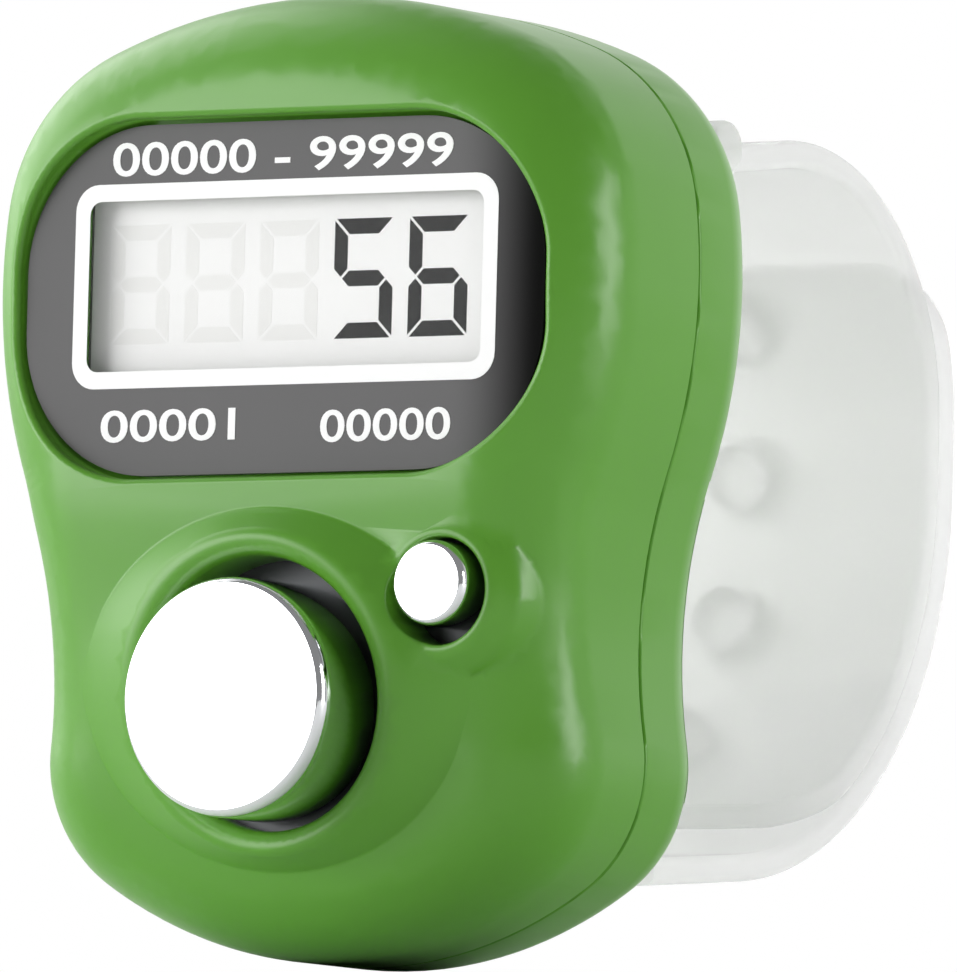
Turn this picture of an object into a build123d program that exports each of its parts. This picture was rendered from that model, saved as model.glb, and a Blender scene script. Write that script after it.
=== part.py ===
"""Finger tally counter: two-shell case, liquid crystal display, two sprung buttons, one cell, two straps.

Millimetres. +X is the viewer's right, +Y runs from the display to the strap, +Z is up.
Depths are measured along +Y from the front face of the display panel.
"""
import os
from math import cos, hypot, radians, sin, sqrt
from build123d import *

os.makedirs("parts", exist_ok=True)

# Case outline: heights above the lowest point, half widths and the radii of its tangent arcs
body_height = 39.45
body_half = 15.15
wide_drop = 11.7
foot_inset = 2.0
top_round = 26.0
shoulder_round = 8.2
side_round = 24.0
waist_round = 21.7
toe_round = 6.0
sole_round = 19.0

# Case depth and walls
lip_proud = 1.0
bend_rise = 8.1
bend_tilt = 8.0
bend_round = 14.0
parting_depth = 7.7
back_depth = 12.7
wall = 1.5
front_edge_round = 4.2
back_edge_round = 2.5
parting_bevel = 0.12
register_height = 0.8
register_wall = 0.6
fit_gap = 0.1

# Display panel and window
display_drop = 11.95
panel_side = 2.55
panel_height = 14.4
panel_corner = 6.0
panel_thick = 0.5
panel_gap = 0.2
panel_drop = 0.6
lip_round = 0.25
seat_thick = 0.4
seat_margin = 1.2
window_side = 2.4
window_height = 8.2
window_gap = 0.05
window_corner = 0.8
window_ledge = 0.1

# Liquid crystal cell and its holder
glass_margin = 0.2
glass_thick = 0.7
film_thick = 0.2
film_inset = 0.3
terminal_ledge = 1.5
holder_wall = 0.8
holder_corner = 1.8
holder_gap = 0.15
zebra_width = 1.0
zebra_inset = 1.4

# Circuit board and what is soldered to it
board_depth = 5.9
board_thick = 1.0
board_gap = 0.3
chip_size = 5.0
chip_height = 0.6
chip_corner = 1.6
chip_x = -4.8
chip_rise = 1.55
crystal_radius = 0.6
crystal_length = 5.0
crystal_x = 5.2
crystal_rise = 3.35
chip_part_length = 1.6
chip_part_width = 0.8
chip_part_height = 0.5
chip_part_pitch = 2.4
chip_part_count = 4
chip_part_drop = 1.45

# Count button
count_x = 0.0
count_z = 10.65
count_radius = 4.9
count_cap_drop = 0.33
count_gap = 0.65
count_face_depth = -3.8
count_rim_depth = -1.2
count_rim_round = 0.65
count_edge_round = 0.25
count_flange_lap = 0.45
count_flange_thick = 0.9
count_travel = 0.9
count_stem_inset = 1.9
count_dome_inset = 0.5
count_dome_height = 2.2

# Reset button
reset_turn = 25.7
reset_clear = 0.8
reset_radius = 1.75
reset_cap_drop = -0.28
reset_face_depth = -1.65
reset_hole_radius = 2.2
reset_rim_depth = -0.8
reset_rim_round = 0.15
reset_edge_round = 0.2
reset_flange_radius = 2.5
reset_flange_thick = 0.8
reset_travel = 0.6
reset_stem_radius = 1.2
reset_dome_radius = 1.9
reset_dome_height = 1.8

# Sizes that both buttons share
flange_depth = 1.0
guide_gap = 0.1
guide_over = 0.3
guide_wall = 0.6
dome_wall = 0.5
dome_foot = 0.4
pill_clear = 0.05
pill_inset = 0.5
collar_land = 0.35
collar_height = 1.35
collar_side_gap = 2.93
collar_foot_flare = 0.9
collar_sink = 0.45
pad_land = 0.2
pad_height = 0.9
pad_flare = 1.0
collar_foot_round = 0.2

# Cell, contacts and cover
cell_radius = 5.8
cell_height = 3.05
cell_z = 13.05
cell_gap = 0.2
contact_thick = 0.2
contact_width = 3.0
contact_reach = 4.0
well_wall = 0.8
cover_left = 7.2
cover_gap = 0.15
cover_wing = 0.6
cover_wing_thick = 0.5
cover_wing_right = 9.5
thumb_tab_inset = 4.55
thumb_tab_width = 1.2
thumb_tab_height = 1.65
thumb_tab_proud = 0.6
thumb_tab_drop = 1.3
grip_rib_width = 0.5
grip_rib_height = 5.0
grip_rib_proud = 0.3
grip_rib_pitch = 1.2
grip_rib_count = 3
grip_rib_x = 6.6

# Screws
screw_radius = 0.7
screw_clear = 0.05
screw_head_radius = 1.3
screw_head_height = 0.8
screw_slot_depth = 0.35
screw_slot_width = 0.35
boss_radius = 1.6
screw_hold = 2.6
case_screw_x = 4.5
case_screw_drop = 6.05
board_top_x = 6.2
board_top_drop = 4.55
board_low_inset = 5.15
board_low_z = 6.0

# Strap
strap_inset = 5.15
strap_thick = 1.15
strap_reach = 21.65
strap_top_rise = 3.0
strap_low_rise = 1.9
strap_top_round = 11.0
strap_low_round = 16.0
strap_end_round = 3.5
upper_end = 0.80
lower_end = 0.343
bead_radius = 1.15
bead_top_inset = 2.35
bead_low_inset = 5.9
bead_proud = 0.7
bead_top_drop = 5.6
bead_low_z = 4.8
peg_radius = 1.3
peg_gap = 0.15
peg_head_radius = 1.9
peg_head_height = 0.5
peg_first = 0.385
peg_pitch = 0.1
peg_count = 4
hook_inset = 4.4
hook_width = 2.0
hook_wall = 0.7
hook_gap = 0.1
hook_lap = 0.4

# Places worked out from the sizes above: heights and widths of the case
body_wide_z = body_height - wide_drop
foot_half = body_half - foot_inset
display_z = body_height - display_drop
bend_z = count_z + bend_rise
panel_width = 2 * (body_half - panel_side)
window_width = panel_width - 2 * window_side
chip_z = display_z + chip_rise
crystal_z = display_z + crystal_rise
chip_part_z = display_z - chip_part_drop
case_screw_z = display_z - case_screw_drop
board_top_z = body_height - board_top_drop
board_low_x = foot_half - board_low_inset
thumb_tab_x = body_half - thumb_tab_inset

# Buttons
count_hole_radius = count_radius + count_gap
count_flange_radius = count_hole_radius + count_flange_lap
count_stem_radius = count_radius - count_stem_inset
count_dome_radius = count_radius - count_dome_inset
collar_radius = count_hole_radius + count_rim_round + collar_land
reset_reach = count_flange_radius + reset_flange_radius + reset_clear
reset_x = count_x + reset_reach * cos(radians(reset_turn))
reset_z = count_z + reset_reach * sin(radians(reset_turn))

# Depths
lip_depth = -lip_proud
seat_depth = panel_thick
glass_width = window_width - 2 * window_ledge + 2 * glass_margin
glass_height = window_height - 2 * window_ledge + 2 * glass_margin
film_depth = seat_depth + seat_thick
glass_depth = film_depth + film_thick
glass_back = glass_depth + 2 * glass_thick
zebra_length = glass_width - 2 * zebra_inset
panel_z = display_z - panel_drop
board_back = board_depth + board_thick
rear_inner_depth = back_depth - wall
cover_depth = rear_inner_depth + cover_gap
well_radius = cell_radius + cell_gap
cover_half = well_radius + well_wall - cover_wing
cell_back = cover_depth - cell_gap
cell_front = cell_back - cell_height

# Strap
strap_half = body_half - strap_inset
bead_top_half = body_half - bead_top_inset
bead_low_half = body_half - bead_low_inset
bead_top_z = body_height - bead_top_drop
bead_depth = back_depth + bead_proud
strap_back_depth = bead_depth + strap_reach
hook_x = strap_half - hook_inset
depth_centre = (count_face_depth + strap_back_depth + strap_thick + peg_head_height) / 2


def depth_plane(depth):
    """Plane facing the viewer at a depth, with local x along +X and local y along +Z."""
    return Plane(origin=(0, depth, 0), x_dir=(1, 0, 0), z_dir=(0, -1, 0))


def slab(sketch, front, back):
    """Extrude a front-view sketch between two depths."""
    return extrude(depth_plane(back) * sketch, back - front)


def rod(x, z, radius, front, back):
    """Cylinder along the depth."""
    return slab(Pos(x, z) * Circle(radius), front, back)


def tube(x, z, outer, inner, front, back):
    """Hollow cylinder along the depth."""
    return rod(x, z, outer, front, back) - rod(x, z, inner, front, back)


def cone(x, z, front_radius, back_radius, front, back):
    """Truncated cone along the depth."""
    front_end = depth_plane(front) * (Pos(x, z) * Circle(front_radius))
    back_end = depth_plane(back) * (Pos(x, z) * Circle(back_radius))
    return loft([front_end, back_end])


def block(x0, x1, front, back, z0, z1):
    """Box between two corners."""
    return Pos((x0 + x1) / 2, (front + back) / 2, (z0 + z1) / 2) * Box(x1 - x0, back - front, z1 - z0)


def circles_meet(first, first_radius, second, second_radius):
    """Right-hand point at given distances from two points."""
    gap_x = second[0] - first[0]
    gap_z = second[1] - first[1]
    gap = hypot(gap_x, gap_z)
    along = (gap ** 2 + first_radius ** 2 - second_radius ** 2) / (2 * gap)
    across = sqrt(first_radius ** 2 - along ** 2)
    ends = []
    for side in (-1, 1):
        x = first[0] + (along * gap_x - side * across * gap_z) / gap
        z = first[1] + (along * gap_z + side * across * gap_x) / gap
        ends.append((x, z))
    return max(ends)


def touch_point(centre, radius, other):
    """Point of a circle on the line to another circle's centre."""
    gap = hypot(other[0] - centre[0], other[1] - centre[1])
    share = radius / gap
    return (centre[0] + share * (other[0] - centre[0]), centre[1] + share * (other[1] - centre[1]))


def outline_arc(centre, radius, start, end):
    """Arc of under a half circle about a centre."""
    middle = touch_point(centre, radius, ((start[0] + end[0]) / 2, (start[1] + end[1]) / 2))
    return ThreePointArc(start, middle, end)


def case_outline(inset=0.0):
    """Pear outline of the case from six tangent arcs a side, drawn in by an inset."""
    top = (0, body_height - top_round)
    side = (body_half - side_round, body_wide_z)
    shoulder = circles_meet(top, top_round - shoulder_round, side, side_round - shoulder_round)
    sole = (0, sole_round)
    toe_x = foot_half - toe_round
    toe = (toe_x, sole_round - sqrt((sole_round - toe_round) ** 2 - toe_x ** 2))
    waist = circles_meet(side, side_round + waist_round, toe, toe_round + waist_round)
    top_end = touch_point(top, top_round, shoulder)
    side_start = touch_point(side, side_round, shoulder)
    side_end = touch_point(side, side_round, waist)
    waist_end = touch_point(toe, toe_round, waist)
    toe_end = touch_point(sole, sole_round, toe)
    right = [
        outline_arc(top, top_round, (0, body_height), top_end),
        outline_arc(shoulder, shoulder_round, top_end, side_start),
        outline_arc(side, side_round, side_start, side_end),
        outline_arc(waist, waist_round, side_end, waist_end),
        outline_arc(toe, toe_round, waist_end, toe_end),
        outline_arc(sole, sole_round, toe_end, (0, 0)),
    ]
    outline = make_face(right + [mirror(edge, about=Plane.YZ) for edge in right])
    return offset(outline, -inset) if inset else outline


def panel_outline(grow=0.0):
    """Rounded outline of the display panel."""
    return Pos(0, panel_z) * RectangleRounded(
        panel_width + 2 * grow, panel_height + 2 * grow, panel_corner + grow)


def window_outline(grow=0.0):
    """Rounded outline of the display window."""
    return Pos(0, display_z) * RectangleRounded(
        window_width + 2 * grow, window_height + 2 * grow, window_corner + grow)


def front_form(inset, edge_round, margin):
    """Case front: the outline drawn in, a face that bends back under the display and a rounded edge."""
    face_depth = lip_depth + margin
    form = slab(case_outline(inset), face_depth, parting_depth)
    wedge = Box(4 * body_half, 2 * body_height, 2 * body_height, align=(Align.CENTER, Align.MAX, Align.MAX))
    form -= Pos(0, face_depth, bend_z) * Rot(bend_tilt, 0, 0) * wedge
    bend = [
        edge for edge in form.edges().filter_by(Axis.X)
        if abs(edge.center().Y - face_depth) < 1e-4 and abs(edge.center().Z - bend_z) < 1e-4
    ]
    form = fillet(bend, bend_round)
    front_faces = [face for face in form.faces() if face.normal_at(face.center()).Y < -0.9]
    rim = [edge for face in front_faces for edge in face.edges() if not edge.is_interior]
    return fillet(rim, edge_round)


def back_form(inset, edge_round, back):
    """Case back: the outline drawn in, with a flat back and a rounded edge."""
    form = slab(case_outline(inset), parting_depth, back)
    face = form.faces().filter_by(Axis.Y).sort_by(Axis.Y)[-1]
    return fillet(face.edges(), edge_round)


def bevel_parting(form):
    """Break the edge round the parting face, so that the closed case shows a fine groove."""
    level_faces = form.faces().filter_by(Axis.Y)
    face = [face for face in level_faces if abs(face.center().Y - parting_depth) < 1e-4][0]
    return chamfer(face.edges(), parting_bevel)


def rim_edges(shape, depth, x, z, radius):
    """Circular edges of one radius about an axis along the depth."""
    return [
        edge for edge in shape.edges().filter_by(GeomType.CIRCLE)
        if abs(edge.radius - radius) < 1e-4 and abs(edge.arc_center.Y - depth) < 1e-4
        and hypot(edge.arc_center.X - x, edge.arc_center.Z - z) < 1e-4
    ]


def mouth_edges(shell, x, z, radius):
    """Edges where a button hole opens through the front of the shell."""
    return [
        edge for edge in shell.edges()
        if max(abs(hypot((edge @ step).X - x, (edge @ step).Z - z) - radius) for step in (0, 0.3, 0.7, 1)) < 1e-3
        and max((edge @ step).Y for step in (0, 0.3, 0.7, 1)) < flange_depth - 1e-3
    ]


# Buttons, their seats and their domes
count_guide_end = flange_depth + count_flange_thick + count_travel + guide_over
reset_guide_end = flange_depth + reset_flange_thick + reset_travel + guide_over


def push_button(x, z, drop, radius, face, edge_round, flange_radius, flange_thick, stem_radius, stem_end):
    """Chromed cap, set a little off the middle of its flange and stem."""
    cap = rod(x, z - drop, radius, face, flange_depth)
    cap = fillet(rim_edges(cap, face, x, z - drop, radius), edge_round)
    cap += rod(x, z, flange_radius, flange_depth, flange_depth + flange_thick)
    return cap + rod(x, z, stem_radius, flange_depth, stem_end)


def count_button():
    return push_button(count_x, count_z, count_cap_drop, count_radius, count_face_depth, count_edge_round,
                       count_flange_radius, count_flange_thick, count_stem_radius,
                       board_depth - count_dome_height)


def reset_button():
    return push_button(reset_x, reset_z, reset_cap_drop, reset_radius, reset_face_depth, reset_edge_round,
                       reset_flange_radius, reset_flange_thick, reset_stem_radius,
                       board_depth - reset_dome_height)


def rubber_dome(x, z, base_radius, top_radius, height):
    """Hollow rubber dome that stands on the board."""
    top = board_depth - height
    foot = board_depth - dome_foot
    dome = cone(x, z, top_radius, base_radius, top, foot) + rod(x, z, base_radius, foot, board_depth)
    hollow = cone(x, z, top_radius - dome_wall / 2, base_radius - dome_wall, top + dome_wall, foot)
    return dome - hollow - rod(x, z, base_radius - dome_wall, foot, board_depth)


def contact_pill(x, z, top_radius, height, travel):
    """Carbon pill under the crown of a dome."""
    front = board_depth - height + dome_wall
    return rod(x, z, top_radius - pill_inset, front, board_depth - travel - pill_clear)


# Front shell
def screw_boss_places():
    case = [(-case_screw_x, case_screw_z), (case_screw_x, case_screw_z)]
    board = [(side * board_top_x, board_top_z) for side in (-1, 1)]
    board += [(side * board_low_x, board_low_z) for side in (-1, 1)]
    return case, board


def count_collar():
    """Collar square to the lower face: round at the rim and wider at its foot, sunk into the face."""
    depth = collar_height + collar_sink
    foot = collar_radius + collar_foot_flare * depth / collar_height
    seat = Pos(count_x, count_rim_depth, count_z) * Rot(bend_tilt, 0, 0)
    rim = seat * (depth_plane(0) * Circle(collar_radius))
    root = seat * (depth_plane(depth) * Ellipse(foot_half - collar_side_gap, foot))
    return loft([rim, root], ruled=True)


def reset_pad():
    """Conical pad round the reset hole, carried back to the side of the case."""
    top = reset_hole_radius + reset_rim_round + pad_land
    foot_depth = reset_rim_depth + pad_height
    pad = cone(reset_x, reset_z, top, top + pad_flare, reset_rim_depth, foot_depth)
    return pad + rod(reset_x, reset_z, top + pad_flare, foot_depth, parting_depth / 2)


def on_panel_wall(edge):
    """Whether an edge runs round the wall of the display recess."""
    wall_line = panel_outline(panel_gap).wire()
    steps = (0, 0.3, 0.7, 1)
    return max(wall_line.distance_to(Vector((edge @ step).X, (edge @ step).Z, 0)) for step in steps) < 1e-3


def front_shell():
    plain = bevel_parting(front_form(0, front_edge_round, 0))
    collar = count_collar()
    joined = plain + collar
    form = fillet(new_edges(plain, collar, combined=joined), collar_foot_round) + reset_pad()
    case_places, board_places = screw_boss_places()
    far_front = count_face_depth - body_height
    cavity = front_form(wall, front_edge_round - wall, wall)
    cavity -= slab(panel_outline(seat_margin), far_front, film_depth)
    cavity -= rod(count_x, count_z, count_flange_radius + guide_gap + guide_wall, far_front, count_guide_end)
    cavity -= rod(reset_x, reset_z, reset_flange_radius + guide_gap + guide_wall, far_front, reset_guide_end)
    for x, z in case_places:
        cavity -= rod(x, z, boss_radius, far_front, parting_depth)
    for x, z in board_places:
        cavity -= rod(x, z, boss_radius, far_front, board_depth)
    shell = form - cavity
    shell -= slab(panel_outline(panel_gap), far_front, seat_depth)
    shell -= slab(window_outline(-window_ledge), far_front, film_depth)
    shell -= rod(count_x, count_z, count_hole_radius, far_front, count_guide_end)
    shell -= rod(count_x, count_z, count_flange_radius + guide_gap, flange_depth, count_guide_end)
    shell -= rod(reset_x, reset_z, reset_hole_radius, far_front, reset_guide_end)
    shell -= rod(reset_x, reset_z, reset_flange_radius + guide_gap, flange_depth, reset_guide_end)
    for x, z in case_places:
        shell -= rod(x, z, screw_radius + screw_clear, parting_depth - screw_hold, parting_depth)
    for x, z in board_places:
        shell -= rod(x, z, screw_radius + screw_clear, board_depth - screw_hold, board_depth)
    across = shell.edges().filter_by(Axis.Y, reverse=True)
    lip = [edge for edge in across if on_panel_wall(edge) and (edge @ 0.5).Y < 0]
    shell = fillet(lip, lip_round)
    shell = fillet(mouth_edges(shell, count_x, count_z, count_hole_radius), count_rim_round)
    return fillet(mouth_edges(shell, reset_x, reset_z, reset_hole_radius), reset_rim_round)


# Display
def display_panel():
    return slab(panel_outline() - window_outline(), 0, panel_thick)


def display_window():
    return slab(window_outline(-window_gap), 0, panel_thick)


def glass_sheet(front, back, ledge, inset):
    """Sheet of the display stack; the ledge is the terminal strip along its top."""
    height = glass_height + ledge - 2 * inset
    sheet = Rectangle(glass_width - 2 * inset, height)
    return slab(Pos(0, display_z + ledge / 2) * sheet, front, back)


glass_top = display_z + glass_height / 2 + terminal_ledge
glass_low = display_z - glass_height / 2
zebra_z = glass_top - terminal_ledge / 2
zebra_front = glass_depth + glass_thick
reflector_back = glass_back + film_thick


def lcd_holder():
    """Frame round the glass, with a shelf behind it, a slot for the rubber connector and screw notches."""
    side = glass_width / 2 + holder_gap
    top = glass_top + holder_gap
    low = glass_low - holder_gap
    frame = block(-side - holder_wall, side + holder_wall, film_depth, board_depth,
                  low - holder_wall, top + holder_wall)
    frame = fillet(frame.edges().filter_by(Axis.Y), holder_corner)
    frame -= block(-side, side, film_depth, reflector_back, low, top)
    lip = holder_gap + holder_wall
    shelf_top = glass_top - terminal_ledge - holder_wall
    frame -= block(-side + lip, side - lip, reflector_back, board_depth, low + lip, shelf_top)
    frame -= block(-zebra_length / 2 - holder_gap, zebra_length / 2 + holder_gap, zebra_front, board_depth,
                   zebra_z - zebra_width / 2 - holder_gap, zebra_z + zebra_width / 2 + holder_gap)
    for x, z in sum(screw_boss_places(), []):
        frame -= rod(x, z, boss_radius + holder_gap, film_depth, board_depth)
    return frame


def zebra_strip():
    return block(-zebra_length / 2, zebra_length / 2, zebra_front, board_depth,
                 zebra_z - zebra_width / 2, zebra_z + zebra_width / 2)


# Circuit board
def circuit_board():
    edge = wall + fit_gap + register_wall + board_gap
    board = slab(case_outline(edge), board_depth, board_back)
    case_places, board_places = screw_boss_places()
    for x, z in case_places:
        board -= rod(x, z, boss_radius + board_gap, board_depth, board_back)
    for x, z in board_places:
        board -= rod(x, z, screw_radius + screw_clear, board_depth, board_back)
    return board


def controller_chip():
    """Glob-top chip on the back of the board."""
    blob = slab(Pos(chip_x, chip_z) * RectangleRounded(chip_size, chip_size, chip_corner),
                board_back, board_back + chip_height)
    return fillet(blob.faces().sort_by(Axis.Y)[-1].edges(), chip_height / 2)


def crystal_can():
    can = Rot(0, 90, 0) * Cylinder(crystal_radius, crystal_length)
    return Pos(crystal_x, board_back + crystal_radius, crystal_z) * can


def board_components():
    """Row of small chip parts, each a solid of its own."""
    first = crystal_x - chip_part_pitch * (chip_part_count - 1) / 2
    parts = []
    for index in range(chip_part_count):
        x = first + index * chip_part_pitch
        parts.append(block(x - chip_part_width / 2, x + chip_part_width / 2, board_back,
                           board_back + chip_part_height, chip_part_z - chip_part_length / 2,
                           chip_part_z + chip_part_length / 2))
    return Compound(children=parts)


def screw(x, z, seat, length):
    """Slotted pan-head screw whose head rests on a seat and whose shaft runs forward."""
    head = rod(x, z, screw_head_radius, seat, seat + screw_head_height)
    head -= block(x - screw_head_radius, x + screw_head_radius, seat + screw_head_height - screw_slot_depth,
                  seat + screw_head_height, z - screw_slot_width / 2, z + screw_slot_width / 2)
    return head + rod(x, z, screw_radius, seat - length, seat)


case_screw_seat = back_depth - screw_head_height - fit_gap


def board_screws():
    length = board_thick + screw_hold - screw_clear
    return Compound(children=[screw(x, z, board_back, length) for x, z in screw_boss_places()[1]])


def case_screws():
    length = case_screw_seat - parting_depth + screw_hold - screw_clear
    return Compound(children=[screw(x, z, case_screw_seat, length) for x, z in screw_boss_places()[0]])


# Cell and contacts
def battery():
    """Button cell: can towards the cover, smaller cap towards the board."""
    cap_height = cell_gap * 2
    can = rod(0, cell_z, cell_radius, cell_front + cap_height, cell_back)
    return can + rod(0, cell_z, cell_radius - well_wall, cell_front, cell_front + cap_height)


def battery_contact_negative():
    """Bent leaf from the board to the cap of the cell."""
    low = cell_z - contact_reach
    leaf = Polyline(
        (board_back, low), (board_back, low + contact_width / 2), (cell_front - contact_thick, cell_z),
        (cell_front - contact_thick, cell_z + contact_width / 2), (cell_front, cell_z + contact_width / 2),
        (cell_front, cell_z), (board_back + contact_thick, low + contact_width / 2),
        (board_back + contact_thick, low), close=True)
    return extrude(Plane.YZ * make_face(leaf), contact_width / 2, both=True)


def battery_contact_positive():
    """Upright strip from the board along the side of the cell."""
    low = cell_z + cell_radius
    strip = block(-contact_width / 2, contact_width / 2, board_back, cell_back, low, low + contact_thick)
    return strip + block(-contact_width / 2, contact_width / 2, board_back, board_back + contact_thick,
                         low, low + contact_width / 2)


# Rear shell, its cover and its strap hooks
cover_top = cell_z + cover_half
cover_low = cell_z - cover_half


def strap_hook(x, z, inward):
    """Hook round a strap bead; inward is the side of the mouth, -1 below and +1 above."""
    outer = bead_radius + hook_gap + hook_wall
    centre = Pos(x, bead_depth, z)
    hook = centre * Rot(0, 90, 0) * Cylinder(outer, hook_width)
    hook += block(x - hook_width / 2, x + hook_width / 2, rear_inner_depth, bead_depth, z - outer, z + outer)
    mouth_near = z + inward * hook_lap
    mouth_far = z + inward * 2 * outer
    hook -= block(x - hook_width, x + hook_width, bead_depth, bead_depth + 2 * outer,
                  min(mouth_near, mouth_far), max(mouth_near, mouth_far))
    return hook


def rear_shell():
    form = bevel_parting(back_form(0, back_edge_round, back_depth))
    case_places = screw_boss_places()[0]
    cavity = back_form(wall, back_edge_round - wall, rear_inner_depth)
    cavity -= tube(0, cell_z, well_radius + well_wall, well_radius, board_back + cell_gap, back_depth)
    for x, z in case_places:
        cavity -= rod(x, z, boss_radius, parting_depth, back_depth)
    for rail_z in (cover_low, cover_top):
        cavity -= block(-cover_left - wall, body_half, rear_inner_depth - well_wall, back_depth,
                        rail_z - cover_wing, rail_z + cover_wing)
    ledge_inset = wall + fit_gap + register_wall
    cavity -= slab(case_outline(0) - case_outline(ledge_inset), parting_depth, parting_depth + register_wall)
    shell = form - cavity
    shell += slab(case_outline(wall + fit_gap) - case_outline(ledge_inset),
                  parting_depth - register_height, parting_depth)
    for z, inward in ((bead_top_z, -1), (bead_low_z, 1)):
        for side in (-1, 1):
            shell += strap_hook(side * hook_x, z, inward)
    for z, half in ((bead_top_z, bead_top_half), (bead_low_z, bead_low_half)):
        groove = Rot(0, 90, 0) * Cylinder(bead_radius + hook_gap, 2 * (half + hook_gap))
        shell -= Pos(0, bead_depth, z) * groove
    far_right = 2 * body_half
    shell -= rod(0, cell_z, well_radius, parting_depth - register_height, back_depth)
    shell -= block(-cover_left - cover_gap, far_right, rear_inner_depth, back_depth,
                   cover_low - cover_gap, cover_top + cover_gap)
    shell -= block(-cover_left - cover_gap, far_right, rear_inner_depth,
                   cover_depth + cover_wing_thick + cover_gap,
                   cover_low - cover_wing - cover_gap, cover_top + cover_wing + cover_gap)
    slot_low = cell_z + cell_radius - cover_gap
    shell -= block(-contact_width / 2 - cover_gap, contact_width / 2 + cover_gap, board_back, rear_inner_depth,
                   slot_low, cell_z + cell_radius + contact_thick + cover_gap)
    for x, z in case_places:
        shell -= rod(x, z, screw_radius + screw_clear, parting_depth, back_depth)
        shell -= rod(x, z, screw_head_radius + fit_gap, case_screw_seat, back_depth)
    return shell


def battery_cover():
    """Cover that slides out to the right on two wings, with grip ribs and a thumb nub at its end."""
    form = back_form(0, back_edge_round, back_depth)
    cover = form & block(-cover_left, 2 * body_half, cover_depth, back_depth, cover_low, cover_top)
    cover += block(-cover_left, cover_wing_right, cover_depth, cover_depth + cover_wing_thick,
                   cover_low - cover_wing, cover_top + cover_wing)
    for index in range(grip_rib_count):
        x = grip_rib_x + index * grip_rib_pitch
        cover += block(x - grip_rib_width / 2, x + grip_rib_width / 2, cover_depth,
                       back_depth + grip_rib_proud, cell_z - grip_rib_height / 2, cell_z + grip_rib_height / 2)
    tab_z = cell_z - thumb_tab_drop
    tab = block(thumb_tab_x - thumb_tab_width / 2, thumb_tab_x + thumb_tab_width / 2, cover_depth,
                back_depth + thumb_tab_proud, tab_z - thumb_tab_height / 2, tab_z + thumb_tab_height / 2)
    return cover + fillet(tab.edges().filter_by(Axis.Y), thumb_tab_width / 4)


# Strap
def strap_line(out):
    """Strap line in the depth and height plane, moved outwards by an amount."""
    top_slope = strap_top_rise / strap_reach
    low_slope = strap_low_rise / strap_reach
    top = bead_top_z + out * sqrt(1 + top_slope ** 2)
    low = bead_low_z - out * sqrt(1 + low_slope ** 2)
    reach = strap_reach + out
    return FilletPolyline(
        (bead_depth, top), (bead_depth + reach, top + top_slope * reach),
        (bead_depth + reach, low + low_slope * reach), (bead_depth, low),
        radius=[strap_top_round + out, strap_low_round + out])


def strap_band(inner, outer):
    """Whole loop of band between two offsets of the strap line."""
    near = strap_line(inner)
    far = strap_line(outer)
    ends = [Line(near @ 0, far @ 0), Line(near @ 1, far @ 1)]
    face = make_face(near.edges() + far.edges() + ends)
    return extrude(Plane.YZ * face, strap_half, both=True)


def strap_plane(place):
    """Plane across the strap line at a place along it, with local x pointing outwards."""
    line = strap_line(0)
    point = line @ place
    along = line % place
    return Plane(origin=(0, point.X, point.Y), x_dir=(0, -along.Y, along.X), z_dir=(0, along.X, along.Y))


def cut_end(band, place, forward):
    """Cut a band square at a place and round the corners of its free end."""
    plane = strap_plane(place)
    reach = body_height
    band -= plane * Pos(0, 0, forward * reach / 2) * Box(2 * reach, 2 * reach, reach)
    corners = [
        edge for edge in band.edges()
        if abs(abs(edge.center().X) - strap_half) < 1e-3
        and abs(plane.to_local_coords(edge.center()).Z) < 1e-3
    ]
    return fillet(corners, strap_end_round)


def strap_root(band, z, half):
    """Add the bead and cut the notches that the hooks pass through."""
    reach = bead_radius + 2 * hook_gap + hook_wall
    for side in (-1, 1):
        x = side * hook_x
        band -= block(x - hook_width / 2 - fit_gap, x + hook_width / 2 + fit_gap,
                      bead_depth - reach, bead_depth + reach, z - reach, z + reach)
    return band + Pos(0, bead_depth, z) * Rot(0, 90, 0) * Cylinder(bead_radius, 2 * half)


peg_places = [peg_first + index * peg_pitch for index in range(peg_count)]


def strap_rod(place, radius, inner, outer):
    """Cylinder through the strap at a place, between two offsets."""
    plane = strap_plane(place)
    upright = Plane(origin=plane.origin, x_dir=(1, 0, 0), z_dir=plane.x_dir)
    return extrude(upright.offset(inner) * Circle(radius), outer - inner)


def strap_upper():
    strap = cut_end(strap_band(-strap_thick, 0), upper_end, 1)
    strap = strap_root(strap, bead_top_z, bead_top_half)
    for place in peg_places:
        strap += strap_rod(place, peg_radius, -strap_thick / 2, strap_thick + peg_gap)
        strap += strap_rod(place, peg_head_radius, strap_thick + peg_gap, strap_thick + peg_head_height)
    return strap


def strap_lower():
    strap = cut_end(strap_band(0, strap_thick), lower_end, -1)
    strap = strap_root(strap, bead_low_z, bead_low_half)
    for place in peg_places:
        strap -= strap_rod(place, peg_radius + peg_gap, -strap_thick, 2 * strap_thick)
    return strap


def save(name, shape):
    """Write one node, with the middle of the whole depth at the origin."""
    export_step(Pos(0, -depth_centre, 0) * shape, f"parts/{name}.step")
    print(name, round(shape.volume, 2))


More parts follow.
